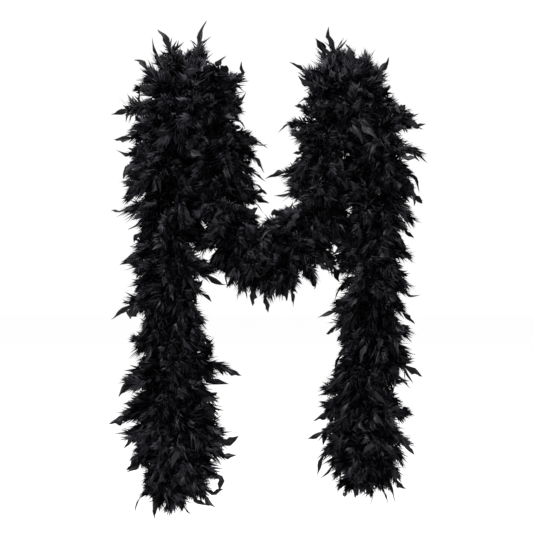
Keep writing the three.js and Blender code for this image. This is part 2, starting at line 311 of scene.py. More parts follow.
def add_node(tree, kind, settings=None, inputs=None):
    """Adds one node with its settings, and sets or links its inputs.

    Settings that are one word are the node's operation. A link is a (node, output) pair, or a node alone for its
    first output in use.
    """
    node = tree.nodes.new(kind)
    if isinstance(settings, str):
        settings = {"operation": settings}
    for name, value in (settings or {}).items():
        setattr(node, name, value)
    for key, value in (inputs or {}).items():
        target = socket(node.inputs, key)
        if isinstance(value, bpy.types.Node):
            tree.links.new(next(s for s in value.outputs if s.enabled), target)
        elif isinstance(value, tuple) and isinstance(value[0], bpy.types.Node):
            tree.links.new(socket(value[0].outputs, value[1]), target)
        else:
            target.default_value = value
    return node


def new_tree(name, sockets):
    """A Geometry Nodes tree with named inputs: (name, kind, default)."""
    tree = bpy.data.node_groups.new(name, "GeometryNodeTree")
    tree.interface.new_socket(name="Geometry", in_out="INPUT", socket_type="NodeSocketGeometry")
    for label, kind, default in sockets:
        made = tree.interface.new_socket(name=label, in_out="INPUT", socket_type="NodeSocket" + kind)
        if default is not None:
            made.default_value = default
    tree.interface.new_socket(name="Geometry", in_out="OUTPUT", socket_type="NodeSocketGeometry")
    return tree, add_node(tree, "NodeGroupInput")


def mesh_object(name, vertices, faces, uvs=None):
    """A smooth mesh object that is in no collection yet. uvs has one pair for each corner."""
    mesh = bpy.data.meshes.new(name)
    mesh.from_pydata([tuple(v) for v in vertices], [], faces)
    if uvs is not None:
        layer = mesh.uv_layers.new(name="OFBake")
        layer.data.foreach_set("uv", np.array(uvs, np.float32).ravel())
    mesh.polygons.foreach_set("use_smooth", [True] * len(mesh.polygons))
    mesh.update()
    return bpy.data.objects.new(name, mesh)


def shown(obj):
    """The same object, now in the scene."""
    bpy.context.scene.collection.objects.link(obj)
    return obj


def curve_object(name, points, radii=None, tilts=None):
    """An open poly curve through the points."""
    curve = bpy.data.curves.new(name, "CURVE")
    curve.dimensions = "3D"
    spline = curve.splines.new("POLY")
    spline.points.add(len(points) - 1)
    for i, point in enumerate(points):
        spline.points[i].co = (*point, 1)
        spline.points[i].radius = radii[i] if radii else 1
        spline.points[i].tilt = tilts[i] if tilts else 0
    return bpy.data.objects.new(name, curve)


def grown(name, base, tree, values):
    """What a tree makes on a base curve, as a plain mesh object of its own."""
    shown(base)
    modifier = base.modifiers.new(tree.name, "NODES")
    modifier.node_group = tree
    for item in tree.interface.items_tree:
        if item.item_type == "SOCKET" and item.in_out == "INPUT" and item.name in values:
            modifier[item.identifier] = values[item.name]
    base.update_tag()
    depsgraph = bpy.context.evaluated_depsgraph_get()
    mesh = bpy.data.meshes.new_from_object(
        base.evaluated_get(depsgraph), preserve_all_data_layers=True, depsgraph=depsgraph,
    )
    mesh.name = name
    curve = base.data
    bpy.data.objects.remove(base)
    bpy.data.curves.remove(curve)
    for extra in [a.name for a in mesh.attributes if a.name in ("root", "radius", "tangent", "tilt", "lean")]:
        mesh.attributes.remove(mesh.attributes[extra])
    return shown(bpy.data.objects.new(name, mesh))


# ---- feather shapes -----------------------------------------------------------------------------------------


TUFTS, BARBS = 35, 12  # on one feather, and in one tuft
BARB_RADIUS = 0.00047  # a real barb is under 0.1 mm: these are as coarse as they need to be to show
UNDER_BARBS, UNDER_RADIUS = 46, 0.0012  # thicker barbs close to the cord, given darker tones as painted shade inside the down
FIRST_BARB = 0.06  # share of a feather's length at which its down starts
VANED_DOWN, PLAIN_DOWN = 0.6, 0.97  # and at which it ends, with and without a flat end
VANED_LENGTH, PLAIN_LENGTH = (0.075, 0.093), (0.050, 0.062)  # of a feather with and without a flat end
SHAFT_RADIUS, SHAFT_RINGS, SHAFT_FOOT = 0.00042, 7, 0.03  # the foot is a share of the feather's length
VANE_START = (0.62, 0.7)  # share of a feather's length at which its flat end starts
VANE_HALF_WIDTH = (0.0042, 0.0076)
VANE_STEPS = 9  # along a flat end
VANE_SECTION = (  # round it: across in half widths, and up in thicknesses
    (-1, 0), (-0.5, 1), (0, 1.4), (0.5, 1), (1, 0), (0.5, -0.6), (0, -1), (-0.5, -0.6),
)
VANE_THICKNESS = 0.00009
LOOSE_WIDTH = (0.0038, 0.0054)  # half the width of a loose feather's flat end
LOOSE_TUFTS, LOOSE_DOWN = 18, 0.34  # the little down at the foot of a loose feather
LOOSE_VANE = (0.36, 0.46)  # share of a loose feather's length at which its flat end starts
LOOSE_REACH = 1.14  # length of a loose feather over its frame node's
END_SLICE = 0.0012  # how much of each end of a frame tip is measured, to tell its point from its root
BENDING_LENGTH = 0.045  # a feather bends over this much of its length, and is straight past it
KINDS = 14  # different feathers, each repeated a few dozen times
VANED = {0, 2, 3, 5, 7, 9, 10, 12}  # the kinds with a flat end


def in_box(rng):
    """A random vector in a cube."""
    return Vector((rng.uniform(-1, 1), rng.uniform(-1, 1), rng.uniform(-1, 1)))


def in_cloud(rng):
    """A random vector that is mostly short."""
    return Vector((rng.gauss(0, 1), rng.gauss(0, 1), rng.gauss(0, 1)))


class Shape:
    """Vertices, faces and corner UVs that grow together."""

    def __init__(self):
        self.vertices, self.faces, self.uvs = [], [], []

    def barb(self, base, middle, tip, half_width, tone):
        """A closed barb: a thin blade from base to tip that is widest, and bent, at its middle.

        Its flat side is turned by its tone, so that neighbours differ. In its map, X is its tone and Y runs to its tip.
        """
        along = (tip - base).normalized()
        side = Matrix.Rotation(tone * 40, 3, along) @ along.orthogonal().normalized()
        first = len(self.vertices)
        left, right = middle - half_width * side, middle + half_width * side
        if (left - base).dot((tip - base).cross(right - base)) > 0:  # the faces would point inwards
            left, right = right, left
        self.vertices += [base, tip, left, right]
        places = [(tone, 0), (tone, 1), (tone - 0.014, 0.45), (tone + 0.014, 0.45)]
        for face in ((0, 2, 1), (0, 1, 3), (0, 3, 2), (1, 2, 3)):
            self.faces.append(tuple(first + i for i in face))
            self.uvs += [places[i] for i in face]

    def lofted(self, rings, uvs):
        """Closed rings joined in turn, with a flat cap at each end. uvs has one row for each ring."""
        count = len(rings[0])
        starts = []
        for ring in rings:
            starts.append(len(self.vertices))
            self.vertices += ring
        for i in range(len(rings) - 1):
            for k in range(count):
                n = (k + 1) % count
                self.faces.append((starts[i] + k, starts[i] + n, starts[i + 1] + n, starts[i + 1] + k))
                self.uvs += [uvs[i][k], uvs[i][n], uvs[i + 1][n], uvs[i + 1][k]]
        self.faces.append(tuple(starts[0] + k for k in reversed(range(count))))
        self.uvs += [uvs[0][k] for k in reversed(range(count))]
        self.faces.append(tuple(starts[-1] + k for k in range(count)))
        self.uvs += [uvs[-1][k] for k in range(count)]


class Feather:
    """The curve of one feather's shaft, from its root at the origin up +Z, in metres."""

    def __init__(self, rng, length):
        self.length = length
        self.sway = rng.uniform(-0.1, 0.1)
        self.bow = rng.uniform(0.0, 0.12)
        self.kink = rng.uniform(0.7, 0.86)
        self.kink_turn = Vector((rng.uniform(-0.6, 0.6), rng.uniform(-0.3, 0.5), 0))

    def at(self, share):
        """The point at a share of the length. Past the kink, the shaft turns aside."""
        past = max(0.0, share - self.kink)
        along = self.length * share
        bent = Vector((self.sway * along * share, self.bow * along * share, along * (1 - 0.1 * share * share)))
        return bent + past * self.length * self.kink_turn

    def towards(self, share):
        """The way the shaft runs there."""
        return (self.at(share + 0.01) - self.at(share - 0.01)).normalized()


def down_shape(rng, feather, vaned, tufts=TUFTS, last=None):
    """The soft barbs of one feather, drawn together into pointed tufts, over wider ones near its root whose darker
    tones are painted shade.
    """
    shape = Shape()
    last = last or (VANED_DOWN if vaned else PLAIN_DOWN)
    shade = rng.uniform(0.5, 1.0)  # how far this feather's barbs may go from black to grey
    for k in range(tufts):
        share = FIRST_BARB + (last - FIRST_BARB) * (k + rng.random()) / tufts
        root, ahead = feather.at(share), feather.towards(share)
        aside = Vector((1 if k % 2 else -1, rng.uniform(-0.8, 0.8), 0)).normalized()
        opening = math.radians(62 - 40 * share / last + rng.uniform(-10, 10))
        heading = (ahead * math.cos(opening) + aside * math.sin(opening)).normalized()
        reach = rng.uniform(0.011, 0.018) * (0.8 + 0.45 * math.sin(math.pi * share / last))
        point = root + heading * reach + ahead * reach * 0.15
        curl = in_box(rng) * reach * 0.1
        tone = 0.06 + 0.92 * shade * rng.random() ** 3
        for _ in range(BARBS):
            base = feather.at(share + rng.uniform(-0.03, 0.03))
            stray = in_cloud(rng) * reach * 0.17
            tip = base + (point + stray - base) * rng.uniform(0.72, 1.1)
            bulge = in_cloud(rng) * reach * 0.08
            middle = base + (tip - base) * rng.uniform(0.24, 0.4) + curl + bulge
            radius = BARB_RADIUS * rng.uniform(0.75, 1.25)
            shape.barb(base, middle, tip, radius, min(0.98, max(0.02, tone + rng.uniform(-0.1, 0.1))))
    # These barbs near the root take the deepest tones, 0.02 to 0.15: painted shade for the hollow inside the down round
    # the cord
    for _ in range(UNDER_BARBS):
        share = rng.uniform(0.05, 0.5)
        base, ahead = feather.at(share), feather.towards(share)
        aside = Vector((rng.gauss(0, 1), rng.gauss(0, 1), rng.gauss(0, 0.4))).normalized()
        tip = base + (aside + ahead * rng.uniform(0.2, 1)).normalized() * rng.uniform(0.014, 0.026)
        middle = (base + tip) / 2 + in_box(rng) * 0.003
        shape.barb(base, middle, tip, UNDER_RADIUS, rng.uniform(0.02, 0.15))
    return shape


def add_shaft(shape, feather, top):
    """A feather's tapered shaft, up to a share of its length."""
    rings, uvs = [], []
    for i in range(SHAFT_RINGS):
        share = SHAFT_FOOT + (top - SHAFT_FOOT) * i / (SHAFT_RINGS - 1)
        middle, ahead = feather.at(share), feather.towards(share)
        side = ahead.cross(Vector((0, 1, 0))).normalized()
        other = ahead.cross(side)
        radius = SHAFT_RADIUS * (1 - 0.72 * share)
        rings.append([middle + radius * (math.cos(a) * side + math.sin(a) * other) for a in QUARTERS])
        uvs.append([(0.485 + 0.01 * k, 0.02 + 0.1 * i / (SHAFT_RINGS - 1)) for k in range(4)])
    shape.lofted(rings, uvs)


def add_vane(rng, shape, feather, width, start):
    """A feather's flat end: a pointed blade, folded along the shaft, with a notch in one edge."""
    notch_side, notch = rng.choice((-1, 1)), rng.uniform(0.45, 0.85)
    fold = rng.uniform(0.1, 0.6)
    widest = rng.uniform(0.4, 0.6)
    rings, uvs = [], []
    for i in range(VANE_STEPS + 1):
        t = i / VANE_STEPS
        middle, ahead = feather.at(start + (1.03 - start) * t), feather.towards(min(1, start + (1 - start) * t))
        side = ahead.cross(Vector((0, 1, 0))).normalized()
        face = ahead.cross(side).normalized()
        swell = t / widest if t < widest else (1 - t) / (1 - widest)
        spread = width * max(0.03, swell) ** 0.95
        ring, row = [], []
        for across, lift in VANE_SECTION:
            notched = across * notch_side > 0 and abs(t - notch) < 0.09
            cut = 0.45 if notched else 1.0
            raised = abs(across) * spread * fold + lift * VANE_THICKNESS
            ring.append(middle + side * across * spread * cut + face * raised)
            row.append((0.5 + 0.47 * across * min(1, spread / width), 0.16 + 0.8 * t))
        rings.append(ring)
        uvs.append(row)
    shape.lofted(rings, uvs)


def flat_shape(rng, feather, vaned, width=None, start=None):
    """The shaft of one feather and, on a vaned one, its flat end."""
    shape = Shape()
    add_shaft(shape, feather, 0.97 if vaned else 0.9)
    if vaned:
        start = start or rng.uniform(*VANE_START)
        width = width or rng.uniform(*VANE_HALF_WIDTH)
        add_vane(rng, shape, feather, width, start)
    return shape


def feather_kinds():
    """Two collections, of the down and of the shafts with their flat ends, in the same order."""
    rng = random.Random(41)
    collections = {label: bpy.data.collections.new("feather_" + label) for label in ("down", "flats")}
    for kind in range(KINDS):
        vaned = kind in VANED
        feather = Feather(rng, rng.uniform(*(VANED_LENGTH if vaned else PLAIN_LENGTH)))
        for label, build in (("down", down_shape), ("flats", flat_shape)):
            shape = build(rng, feather, vaned)
            made = mesh_object(f"{label}_{kind:02d}", shape.vertices, shape.faces, shape.uvs)
            collections[label].objects.link(made)
    return collections


def outward_at(tree, points, turn):
    """The direction out of the cord at each point, at an angle round it."""
    east = add_node(tree, "ShaderNodeMath", "COSINE", {0: turn})
    north = add_node(tree, "ShaderNodeMath", "SINE", {0: turn})
    across = add_node(tree, "ShaderNodeVectorMath", "CROSS_PRODUCT", {0: (points, "Tangent"), 1: (0, 1, 0)})
    forth = add_node(tree, "ShaderNodeVectorMath", "SCALE", {0: (0, 1, 0), "Scale": east})
    up = add_node(tree, "ShaderNodeVectorMath", "SCALE", {0: across, "Scale": north})
    return add_node(tree, "ShaderNodeVectorMath", "ADD", {0: forth, 1: up})


def feather_tree():
    """Sets feathers round a route by the golden angle, lets them sag and draws them into tufts."""
    tree, given = new_tree("feathers on a cord", [
        ("Spacing", "Float", 0.0024),
        ("Kinds", "Collection", None),
        ("Kind Count", "Int", KINDS),
        ("Scatter", "Float", 0.38),
        ("Least Size", "Float", 0.9),
        ("Most Size", "Float", 1.16),
        ("Droop", "Float", 2.4),
        ("Ruffle", "Float", 0.35),
        ("Depth", "Float", 0.082),  # nothing stands further than this before or behind the cord
        ("Finish", "Material", None),
        ("Seed", "Int", 1),
    ])
    tilt = add_node(tree, "GeometryNodeInputCurveTilt")
    leaned = add_node(
        tree, "GeometryNodeStoreNamedAttribute", {"data_type": "FLOAT", "domain": "POINT"},
        {"Geometry": (given, "Geometry"), "Name": "lean", "Value": tilt},
    )
    points = add_node(
        tree, "GeometryNodeCurveToPoints", {"mode": "LENGTH"},
        {"Curve": leaned, "Length": (given, "Spacing")},
    )
    index = add_node(tree, "GeometryNodeInputIndex")
    chance = {}
    for use, kind, low, high, salt in (
        ("turn", "FLOAT", -STRAY_ANGLE, STRAY_ANGLE, 11),
        ("stray", "FLOAT_VECTOR", (-1, -1, -1), (1, 1, 1), 23),
        ("twist", "FLOAT", -3.14, 3.14, 37),
    ):
        seed = add_node(tree, "ShaderNodeMath", "ADD", {0: (given, "Seed"), 1: salt})
        chance[use] = add_node(
            tree, "FunctionNodeRandomValue", {"data_type": kind},
            {"Min": low, "Max": high, "ID": index, "Seed": seed},
        )

    # Each feather stands out from the cord, a golden angle on from the last one, and leans down
    stray = add_node(tree, "ShaderNodeMath", "MULTIPLY_ADD", {0: index, 1: GOLDEN_ANGLE, 2: chance["turn"]})
    radial = outward_at(tree, points, stray)
    lean = add_node(tree, "GeometryNodeInputNamedAttribute", {"data_type": "FLOAT"}, {"Name": "lean"})
    fall = add_node(tree, "ShaderNodeVectorMath", "SCALE", {0: (0, 0, -1), "Scale": lean})
    jitter = add_node(tree, "ShaderNodeVectorMath", "SCALE", {0: chance["stray"], "Scale": (given, "Scatter")})
    leaning = add_node(tree, "ShaderNodeVectorMath", "ADD", {0: radial, 1: fall})
    heading = add_node(tree, "ShaderNodeVectorMath", "ADD", {0: leaning, 1: jitter})
    stand = add_node(tree, "FunctionNodeAlignRotationToVector", {"axis": "Z"}, {"Vector": heading})
    faced = add_node(
        tree, "FunctionNodeAlignRotationToVector", {"axis": "Y", "pivot_axis": "Z"},
        {"Rotation": stand, "Vector": (0, 0, -1)},
    )
    twist = add_node(tree, "FunctionNodeAxisAngleToRotation", None, {"Axis": (0, 0, 1), "Angle": chance["twist"]})
    turned = add_node(
        tree, "FunctionNodeRotateRotation", {"rotation_space": "LOCAL"},
        {"Rotation": faced, "Rotate By": twist},
    )
    start = add_node(tree, "ShaderNodeVectorMath", "SCALE", {0: radial, "Scale": ROOT_OFFSET})
    shifted = add_node(tree, "GeometryNodeSetPosition", None, {"Geometry": points, "Offset": start})
    position = add_node(tree, "GeometryNodeInputPosition")
    rooted = add_node(
        tree, "GeometryNodeStoreNamedAttribute", {"data_type": "FLOAT_VECTOR", "domain": "POINT"},
        {"Geometry": shifted, "Name": "root", "Value": position},
    )
    girth = add_node(tree, "GeometryNodeInputRadius")
    size = add_node(tree, "FunctionNodeRandomValue", {"data_type": "FLOAT"}, {
        "Min": (given, "Least Size"), "Max": (given, "Most Size"), "ID": index, "Seed": (given, "Seed"),
    })
    scale = add_node(tree, "ShaderNodeMath", "MULTIPLY", {0: girth, 1: size})
    kinds = add_node(
        tree, "GeometryNodeCollectionInfo", None,
        {"Collection": (given, "Kinds"), "Separate Children": True, "Reset Children": True},
    )
    most = add_node(tree, "ShaderNodeMath", "SUBTRACT", {0: (given, "Kind Count"), 1: 1})
    pick = add_node(tree, "FunctionNodeRandomValue", {"data_type": "INT"}, {
        "Min": 0, "Max": most, "ID": index, "Seed": (given, "Seed"),
    })
    placed = add_node(tree, "GeometryNodeInstanceOnPoints", None, {
        "Points": rooted, "Instance": kinds, "Pick Instance": True,
        "Instance Index": pick, "Rotation": turned, "Scale": scale,
    })
    real = add_node(tree, "GeometryNodeRealizeInstances", None, {"Geometry": placed})

    # It sags by its length: in a curve near its root, and straight on past BENDING_LENGTH
    root = add_node(tree, "GeometryNodeInputNamedAttribute", {"data_type": "FLOAT_VECTOR"}, {"Name": "root"})
    away = add_node(tree, "ShaderNodeVectorMath", "SUBTRACT", {0: position, 1: root})
    reach = add_node(tree, "ShaderNodeVectorMath", "LENGTH", {0: away})
    bending = add_node(tree, "ShaderNodeMath", "MINIMUM", {0: reach, 1: BENDING_LENGTH})
    twice = add_node(tree, "ShaderNodeMath", "MULTIPLY", {0: reach, 1: 2.0})
    beyond = add_node(tree, "ShaderNodeMath", "SUBTRACT", {0: twice, 1: bending})
    curve = add_node(tree, "ShaderNodeMath", "MULTIPLY", {0: bending, 1: beyond})
    sink = add_node(tree, "ShaderNodeMath", "MULTIPLY", {0: curve, 1: (given, "Droop")})
    sag = add_node(tree, "ShaderNodeVectorMath", "SCALE", {0: (0, 0, -1), "Scale": sink})

    # Noise with waves 42 mm long draws neighbours together into tufts
    cloud = add_node(tree, "ShaderNodeTexNoise", None, {"Vector": position, "Scale": 24.0, "Detail": 0.5})
    centred = add_node(tree, "ShaderNodeVectorMath", "SUBTRACT", {0: (cloud, "Color"), 1: (0.5, 0.5, 0.5)})
    amount = add_node(tree, "ShaderNodeMath", "MULTIPLY", {0: reach, 1: (given, "Ruffle")})
    ruffle = add_node(tree, "ShaderNodeVectorMath", "SCALE", {0: centred, "Scale": amount})
    shift = add_node(tree, "ShaderNodeVectorMath", "ADD", {0: sag, 1: ruffle})
    sunk = add_node(tree, "GeometryNodeSetPosition", None, {"Geometry": real, "Offset": shift})
    parts = add_node(tree, "ShaderNodeSeparateXYZ", None, {0: position})
    far = add_node(tree, "ShaderNodeMath", "DIVIDE", {0: (parts, "Y"), 1: (given, "Depth")})
    near = add_node(tree, "ShaderNodeMath", "TANH", {0: far})
    level = add_node(tree, "ShaderNodeMath", "MULTIPLY", {0: near, 1: (given, "Depth")})
    slim = add_node(tree, "ShaderNodeCombineXYZ", None, {"X": (parts, "X"), "Y": level, "Z": (parts, "Z")})
    slimmed = add_node(tree, "GeometryNodeSetPosition", None, {"Geometry": sunk, "Position": slim})
    done = add_node(tree, "GeometryNodeSetMaterial", None, {"Geometry": slimmed, "Material": (given, "Finish")})
    add_node(tree, "NodeGroupOutput", None, {"Geometry": done})
    return tree


def turned_about(tree, given, frame_of, phase):
    """A point's offset from its route: out by Offset, at an angle that turns once in each Lay.

    frame_of holds the nodes of the length along the route, its normal and the side across both.
    """
    parameter, normal, side = frame_of
    turns = add_node(tree, "ShaderNodeMath", "DIVIDE", {0: (parameter, "Length"), 1: (given, "Lay")})
    angle = add_node(tree, "ShaderNodeMath", "MULTIPLY_ADD", {0: turns, 1: math.tau, 2: phase})
    cosine = add_node(tree, "ShaderNodeMath", "COSINE", {0: angle})
    sine = add_node(tree, "ShaderNodeMath", "SINE", {0: angle})
    first = add_node(tree, "ShaderNodeVectorMath", "SCALE", {0: (normal, "Normal"), "Scale": cosine})
    second = add_node(tree, "ShaderNodeVectorMath", "SCALE", {0: side, "Scale": sine})
    both = add_node(tree, "ShaderNodeVectorMath", "ADD", {0: first, 1: second})
    return add_node(tree, "ShaderNodeVectorMath", "SCALE", {0: both, "Scale": (given, "Offset")})


def strand_tree(name, strands):
    """Round strands that turn about a route: the plies of a laid cord, or the turns of a wound thread."""
    tree, given = new_tree(name, [
        ("Point Spacing", "Float", 0.0012),
        ("Strand Radius", "Float", 0.00118),
        ("Offset", "Float", 0.00112),
        ("Lay", "Float", 0.0105),
        ("Finish", "Material", None),
    ])
    fine = add_node(
        tree, "GeometryNodeResampleCurve", {"mode": "LENGTH"},
        {"Curve": (given, "Geometry"), "Length": (given, "Point Spacing")},
    )
    parameter = add_node(tree, "GeometryNodeSplineParameter")
    tangent = add_node(tree, "GeometryNodeInputTangent")
    normal = add_node(tree, "GeometryNodeInputNormal")
    side = add_node(tree, "ShaderNodeVectorMath", "CROSS_PRODUCT", {0: (tangent, "Tangent"), 1: (normal, "Normal")})
    profile = add_node(
        tree, "GeometryNodeCurvePrimitiveCircle", None, {"Resolution": 8, "Radius": (given, "Strand Radius")},
    )
    joined = add_node(tree, "GeometryNodeJoinGeometry")
    for i in range(strands):
        offset = turned_about(tree, given, (parameter, normal, side), math.tau * i / strands)
        moved = add_node(tree, "GeometryNodeSetPosition", None, {"Geometry": fine, "Offset": offset})
        strand = add_node(
            tree, "GeometryNodeCurveToMesh", None,
            {"Curve": moved, "Profile Curve": profile, "Fill Caps": True},
        )
        tree.links.new(strand.outputs["Mesh"], joined.inputs["Geometry"])
    real = add_node(tree, "GeometryNodeRealizeInstances", None, {"Geometry": joined})
    done = add_node(tree, "GeometryNodeSetMaterial", None, {"Geometry": real, "Material": (given, "Finish")})
    add_node(tree, "NodeGroupOutput", None, {"Geometry": done})
    return tree


def quill_tree():
    """Cut quill ends laid round a cord by the golden angle, each leaning out along its feather."""
    tree, given = new_tree("quills on a cord", [
        ("Spacing", "Float", 0.0024),
        ("Offset", "Float", 0.0034),
        ("Quill Radius", "Float", 0.0009),
        ("Quill Length", "Float", 0.009),
        ("Finish", "Material", None),
        ("Seed", "Int", 1),
    ])
    points = add_node(
        tree, "GeometryNodeCurveToPoints", {"mode": "LENGTH"},
        {"Curve": (given, "Geometry"), "Length": (given, "Spacing")},
    )
    index = add_node(tree, "GeometryNodeInputIndex")
    phase = add_node(tree, "ShaderNodeMath", "MULTIPLY", {0: index, 1: GOLDEN_ANGLE})
    radial = outward_at(tree, points, phase)
    offset = add_node(tree, "ShaderNodeVectorMath", "SCALE", {0: radial, "Scale": (given, "Offset")})
    moved = add_node(tree, "GeometryNodeSetPosition", None, {"Geometry": points, "Offset": offset})
    tilt = add_node(tree, "FunctionNodeRandomValue", {"data_type": "FLOAT"}, {
        "Min": 0.08, "Max": 0.22, "ID": index, "Seed": (given, "Seed"),
    })
    lean = add_node(tree, "ShaderNodeVectorMath", "SCALE", {0: radial, "Scale": tilt})
    along = add_node(tree, "ShaderNodeVectorMath", "ADD", {0: (points, "Tangent"), 1: lean})
    stand = add_node(tree, "FunctionNodeAlignRotationToVector", {"axis": "Z"}, {"Vector": along})
    quill = add_node(tree, "GeometryNodeMeshCone", None, {
        "Vertices": 8, "Side Segments": 3, "Radius Top": 0.0003, "Radius Bottom": (given, "Quill Radius"),
        "Depth": (given, "Quill Length"),
    })
    placed = add_node(tree, "GeometryNodeInstanceOnPoints", None, {
        "Points": moved, "Instance": quill, "Rotation": stand,
    })
    real = add_node(tree, "GeometryNodeRealizeInstances", None, {"Geometry": placed})
    done = add_node(tree, "GeometryNodeSetMaterial", None, {"Geometry": real, "Material": (given, "Finish")})
    add_node(tree, "NodeGroupOutput", None, {"Geometry": done})
    return tree


# ---- settings -----------------------------------------------------------------------------------------------


# Most of these settings are dyes. The down's tip grey is painted light, and its deep colour is partly painted shade.
def dye(name, description, colour):
    """A colour setting with a hex default."""
    return bpy.props.FloatVectorProperty(
        name=name, description=description, default=linear(colour), size=4, min=0, max=1, subtype="COLOR",
    )


class BoaSettings(bpy.types.PropertyGroup):
    """Sizes of the feathers and how they stand."""

    spacing: bpy.props.FloatProperty(
        name="Feather spacing", description="Length of cord for each feather", default=0.0024, min=0.001, unit="LENGTH",
    )
    least_size: bpy.props.FloatProperty(name="Least size", description="Scale of the smallest feather", default=0.9)
    most_size: bpy.props.FloatProperty(name="Most size", description="Scale of the largest feather", default=1.16)
    scatter: bpy.props.FloatProperty(name="Scatter", description="How far a feather strays", default=0.38)
    droop: bpy.props.FloatProperty(name="Droop", description="How much feathers sag towards their ends", default=2.4)
    ruffle: bpy.props.FloatProperty(name="Ruffle", description="How much the barbs are drawn about", default=0.35)
    seed: bpy.props.IntProperty(name="Seed", description="Start of the random numbers", default=7)


class BoaColours(bpy.types.PropertyGroup):
    """Where the dye is deepest and where it is palest, and the colours of the light and shade painted on the down."""

    # The deep colour is the dye of the darkest tufts, and also painted shade on the barbs close to the cord
    down_deep: dye("Down, deep", "Down close to the cord", "#010102")
    down_pale: dye("Down, pale", "The palest tufts of down", "#57565d")
    # Painted light: a paler grey blended onto the ends of the barbs, for light showing through the thin tips
    down_painted_tip_light: dye("Down, worn", "The ends of the barbs", "#232226")
    vane_deep: dye("Flat ends, deep", "Between the barbs of a flat end", "#050509")
    vane_pale: dye("Flat ends, pale", "Along the barbs of a flat end", "#121219")
    cord_deep: dye("Cord, deep", "Between the fibres of the cord", "#131214")
    cord_pale: dye("Cord, pale", "On the fibres of the cord", "#2c2a2e")
    quill_deep: dye("Quills, deep", "Where a quill took the dye", "#1a1816")
    quill_pale: dye("Quills, pale", "Where a quill took less of it", "#4a4038")
    thread_deep: dye("Thread, deep", "Between the fibres of the thread", "#0e0e0f")
    thread_pale: dye("Thread, pale", "On the fibres of the thread", "#28272a")


class BoaStageSettings(bpy.types.PropertyGroup):
    """The studio."""

    distance: bpy.props.FloatProperty(
        name="Camera distance", description="From the camera to the boa", default=2.6, unit="LENGTH",
    )
    width: bpy.props.FloatProperty(
        name="View width", description="Width of the view at the boa", default=0.80, unit="LENGTH",
    )


# ---- materials ----------------------------------------------------------------------------------------------


def new_material(name, uniform):
    """A material with a Principled shader whose uniform values are set on its own sockets."""
    material = bpy.data.materials.new(name)
    material.use_nodes = True
    shader = material.node_tree.nodes["Principled BSDF"]
    for label, value in uniform.items():
        shader.inputs[label].default_value = value
    return material, material.node_tree, shader


def set_ramp(ramp, kind, low=0.0, high=1.0):
    """Run a colour ramp from a finish's deep colour to its pale one."""
    colours = bpy.context.scene.boa_colours
    for stop, place, depth in zip(ramp.color_ramp.elements, (low, high), ("deep", "pale")):
        stop.position, stop.color = place, getattr(colours, f"{kind}_{depth}")


def down_material():
    """Turkey down dyed black: fine matte keratin barbs that take the dye unevenly, with no gloss, and with painted
    light on their tips.
    """
    material, tree, shader = new_material("turkey down, dyed black", {
        "Roughness": 0.8, "IOR": 1.55, "Specular IOR Level": 0.0, "Sheen Weight": 0.01, "Sheen Roughness": 0.5,
        "Sheen Tint": linear("#8d8a94"),
    })
    place = add_node(tree, "ShaderNodeUVMap", {"uv_map": "OFBake"})
    parts = add_node(tree, "ShaderNodeSeparateXYZ", None, {0: place})
    # The map's X is a barb's own tone and its Y runs to the barb's tip. A tuft's barb is about 15 mm long, so a scale
    # of 60 gives it patches of dye 0.25 mm long.
    grain = add_node(
        tree, "ShaderNodeTexNoise", {"noise_dimensions": "2D"}, {"Vector": place, "Scale": 60.0, "Detail": 2.0},
    )
    uptake = add_node(tree, "ShaderNodeMath", "MULTIPLY_ADD", {0: grain, 1: 0.2, 2: (parts, "X")})
    ramp = add_node(tree, "ShaderNodeValToRGB", None, {"Fac": uptake})
    set_ramp(ramp, "down", 0.15, 1.0)
    # Past 40% of a barb's length its colour is blended up to 12% towards a paler grey: painted light for light showing
    # through the thin ends
    painted_tip_light = add_node(
        tree, "ShaderNodeMapRange", None,
        {"Value": (parts, "Y"), "From Min": 0.4, "From Max": 1.0, "To Min": 0.0, "To Max": 0.12},
    )
    blend = add_node(
        tree, "ShaderNodeMix", {"data_type": "RGBA"},
        {0: painted_tip_light, 6: ramp, 7: bpy.context.scene.boa_colours.down_painted_tip_light},
    )
    tree.links.new(blend.outputs[2], shader.inputs["Base Color"])
    return material


def vane_material():
    """The flat end of a dyed turkey feather: satin keratin with fine slanting barbs on each side of the shaft."""
    material, tree, shader = new_material("turkey vane, dyed black", {"IOR": 1.55, "Specular IOR Level": 0.16})
    place = add_node(tree, "ShaderNodeUVMap", {"uv_map": "OFBake"})
    parts = add_node(tree, "ShaderNodeSeparateXYZ", None, {0: place})
    off = add_node(tree, "ShaderNodeMath", "SUBTRACT", {0: (parts, "X"), 1: 0.5})
    aside = add_node(tree, "ShaderNodeMath", "ABSOLUTE", {0: off})
    slant = add_node(tree, "ShaderNodeMath", "MULTIPLY_ADD", {0: aside, 1: -0.35, 2: (parts, "Y")})
    # A vane is about 28 mm long, so 34 barbs to it lie 0.8 mm apart: twice the real spacing, so that they show.
    barbs = add_node(
        tree, "ShaderNodeTexNoise", {"noise_dimensions": "1D"}, {"W": slant, "Scale": 34.0, "Detail": 3.0},
    )
    ramp = add_node(tree, "ShaderNodeValToRGB", None, {"Fac": barbs})
    set_ramp(ramp, "vane", 0.3, 0.7)
    tree.links.new(ramp.outputs["Color"], shader.inputs["Base Color"])
    gloss = add_node(tree, "ShaderNodeMapRange", None, {"Value": barbs, "To Min": 0.36, "To Max": 0.56})
    tree.links.new(gloss.outputs["Result"], shader.inputs["Roughness"])
    bump = add_node(tree, "ShaderNodeBump", None, {"Strength": 0.35, "Distance": 0.0002, "Height": barbs})
    tree.links.new(bump.outputs["Normal"], shader.inputs["Normal"])
    return material


